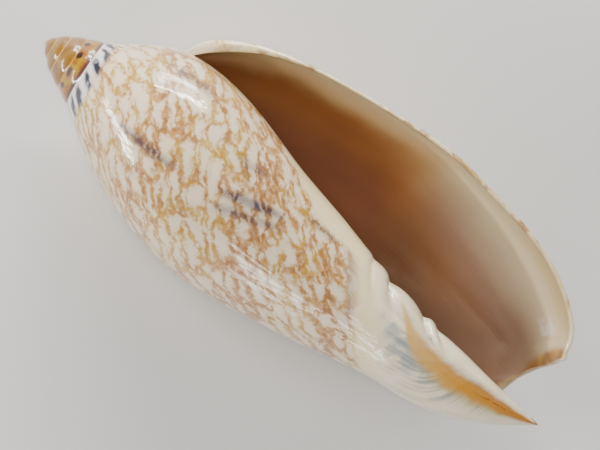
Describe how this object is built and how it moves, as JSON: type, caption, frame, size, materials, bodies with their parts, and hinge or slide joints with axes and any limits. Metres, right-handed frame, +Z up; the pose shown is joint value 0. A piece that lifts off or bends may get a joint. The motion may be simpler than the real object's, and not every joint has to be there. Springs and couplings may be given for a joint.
{
  "type": "volute seashell",
  "caption": "Whole spindle-shaped volute seashell lying on its back, with a wide open aperture, a folded columella and a short pointed spire.",
  "frame": {"origin": "middle of the underside of the shell's bounding box, on the surface it rests on", "axes": "+X along the longest extent, from the spire to the front end with the notch; +Z up, out of the aperture; the lip is on the +Y side"},
  "size_m": [0.1088, 0.0459, 0.0358],
  "materials": {
    "shell": "polished shell, cream with orange-brown net markings and an orange-brown inside"
  },
  "bodies": {
    "root": {"shell": "shell"}
  },
  "joints": []
}
